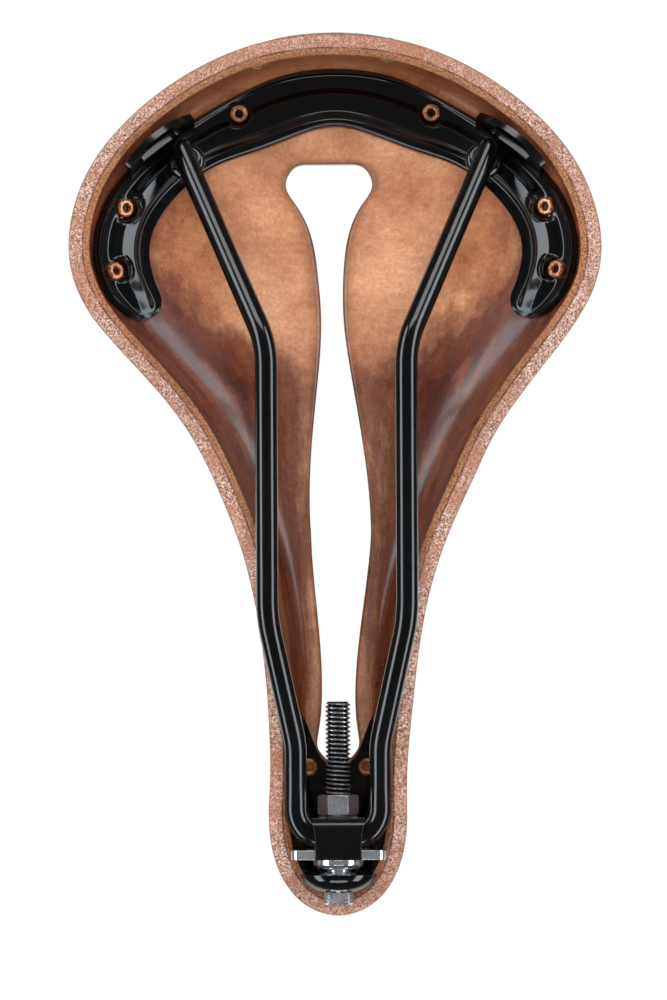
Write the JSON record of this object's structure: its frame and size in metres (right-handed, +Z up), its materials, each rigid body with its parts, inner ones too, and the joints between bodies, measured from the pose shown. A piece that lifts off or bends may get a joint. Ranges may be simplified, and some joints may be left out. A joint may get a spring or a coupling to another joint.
{
  "type": "bicycle saddle",
  "caption": "Leather tension saddle with a long keyhole slot, on one bent rail rod, with a pressed cantle plate, riveted nose plate and a screw that tightens the top.",
  "frame": {"origin": "midway between the axes of the two rails at the middle of their straight clamp stretch", "axes": "+Y along the saddle towards the rear, -Y towards the nose, +Z up towards the rider, +X across"},
  "size_m": [0.1682, 0.28, 0.0566],
  "materials": {
    "leather": "satin",
    "black_steel": "gloss",
    "black_rod": "gloss",
    "black_gloss": "gloss",
    "black_satin": "satin",
    "weld_paint": "gloss",
    "copper": "polished",
    "brass": "polished",
    "chrome": "polished"
  },
  "bodies": {
    "frame": {"leather_top": "leather", "cantle_plate": "black_steel", "bag_loop_left": "black_steel", "bag_loop_right": "black_steel", "rails": "black_rod", "rail_weld_left": "weld_paint", "rail_weld_right": "weld_paint", "cantle_rivets_rear": "copper", "cantle_rivets_mid": "copper", "cantle_rivets_wing": "copper", "shackle_strap": "black_satin", "thrust_plate": "chrome", "badge_plate": "brass", "badge_rivets": "brass"},
    "nose": {"nose_plate": "black_steel", "nose_cup": "black_gloss", "cup_welds": "black_gloss", "nose_rivets_rear": "copper", "nose_rivets_front": "copper", "tension_bolt": "chrome"},
    "tension_nut": {"tension_nut": "chrome"},
    "lock_nut": {"lock_nut": "chrome"}
  },
  "joints": [
    {"name": "nose_tension", "type": "slide", "parent": "frame", "child": "nose", "axis": [0, -1, 0], "range_m": [0, 0.008], "deforming": ["leather_top"]},
    {"name": "tension_nut_turn", "type": "hinge", "parent": "frame", "child": "tension_nut", "pos_m": [0, -0.12355, 0.024], "axis": [0, 1, 0], "range_deg": [-1, 2043.6]},
    {"name": "lock_nut_turn", "type": "hinge", "parent": "frame", "child": "lock_nut", "pos_m": [0, -0.105, 0.024], "axis": [0, 1, 0], "range_deg": [-1, 2043.6]}
  ],
  "couplings": [
    {"joint": "tension_nut_turn", "follows": "nose_tension", "rad_per_m": 4456.2},
    {"joint": "lock_nut_turn", "follows": "nose_tension", "rad_per_m": 4456.2}
  ]
}
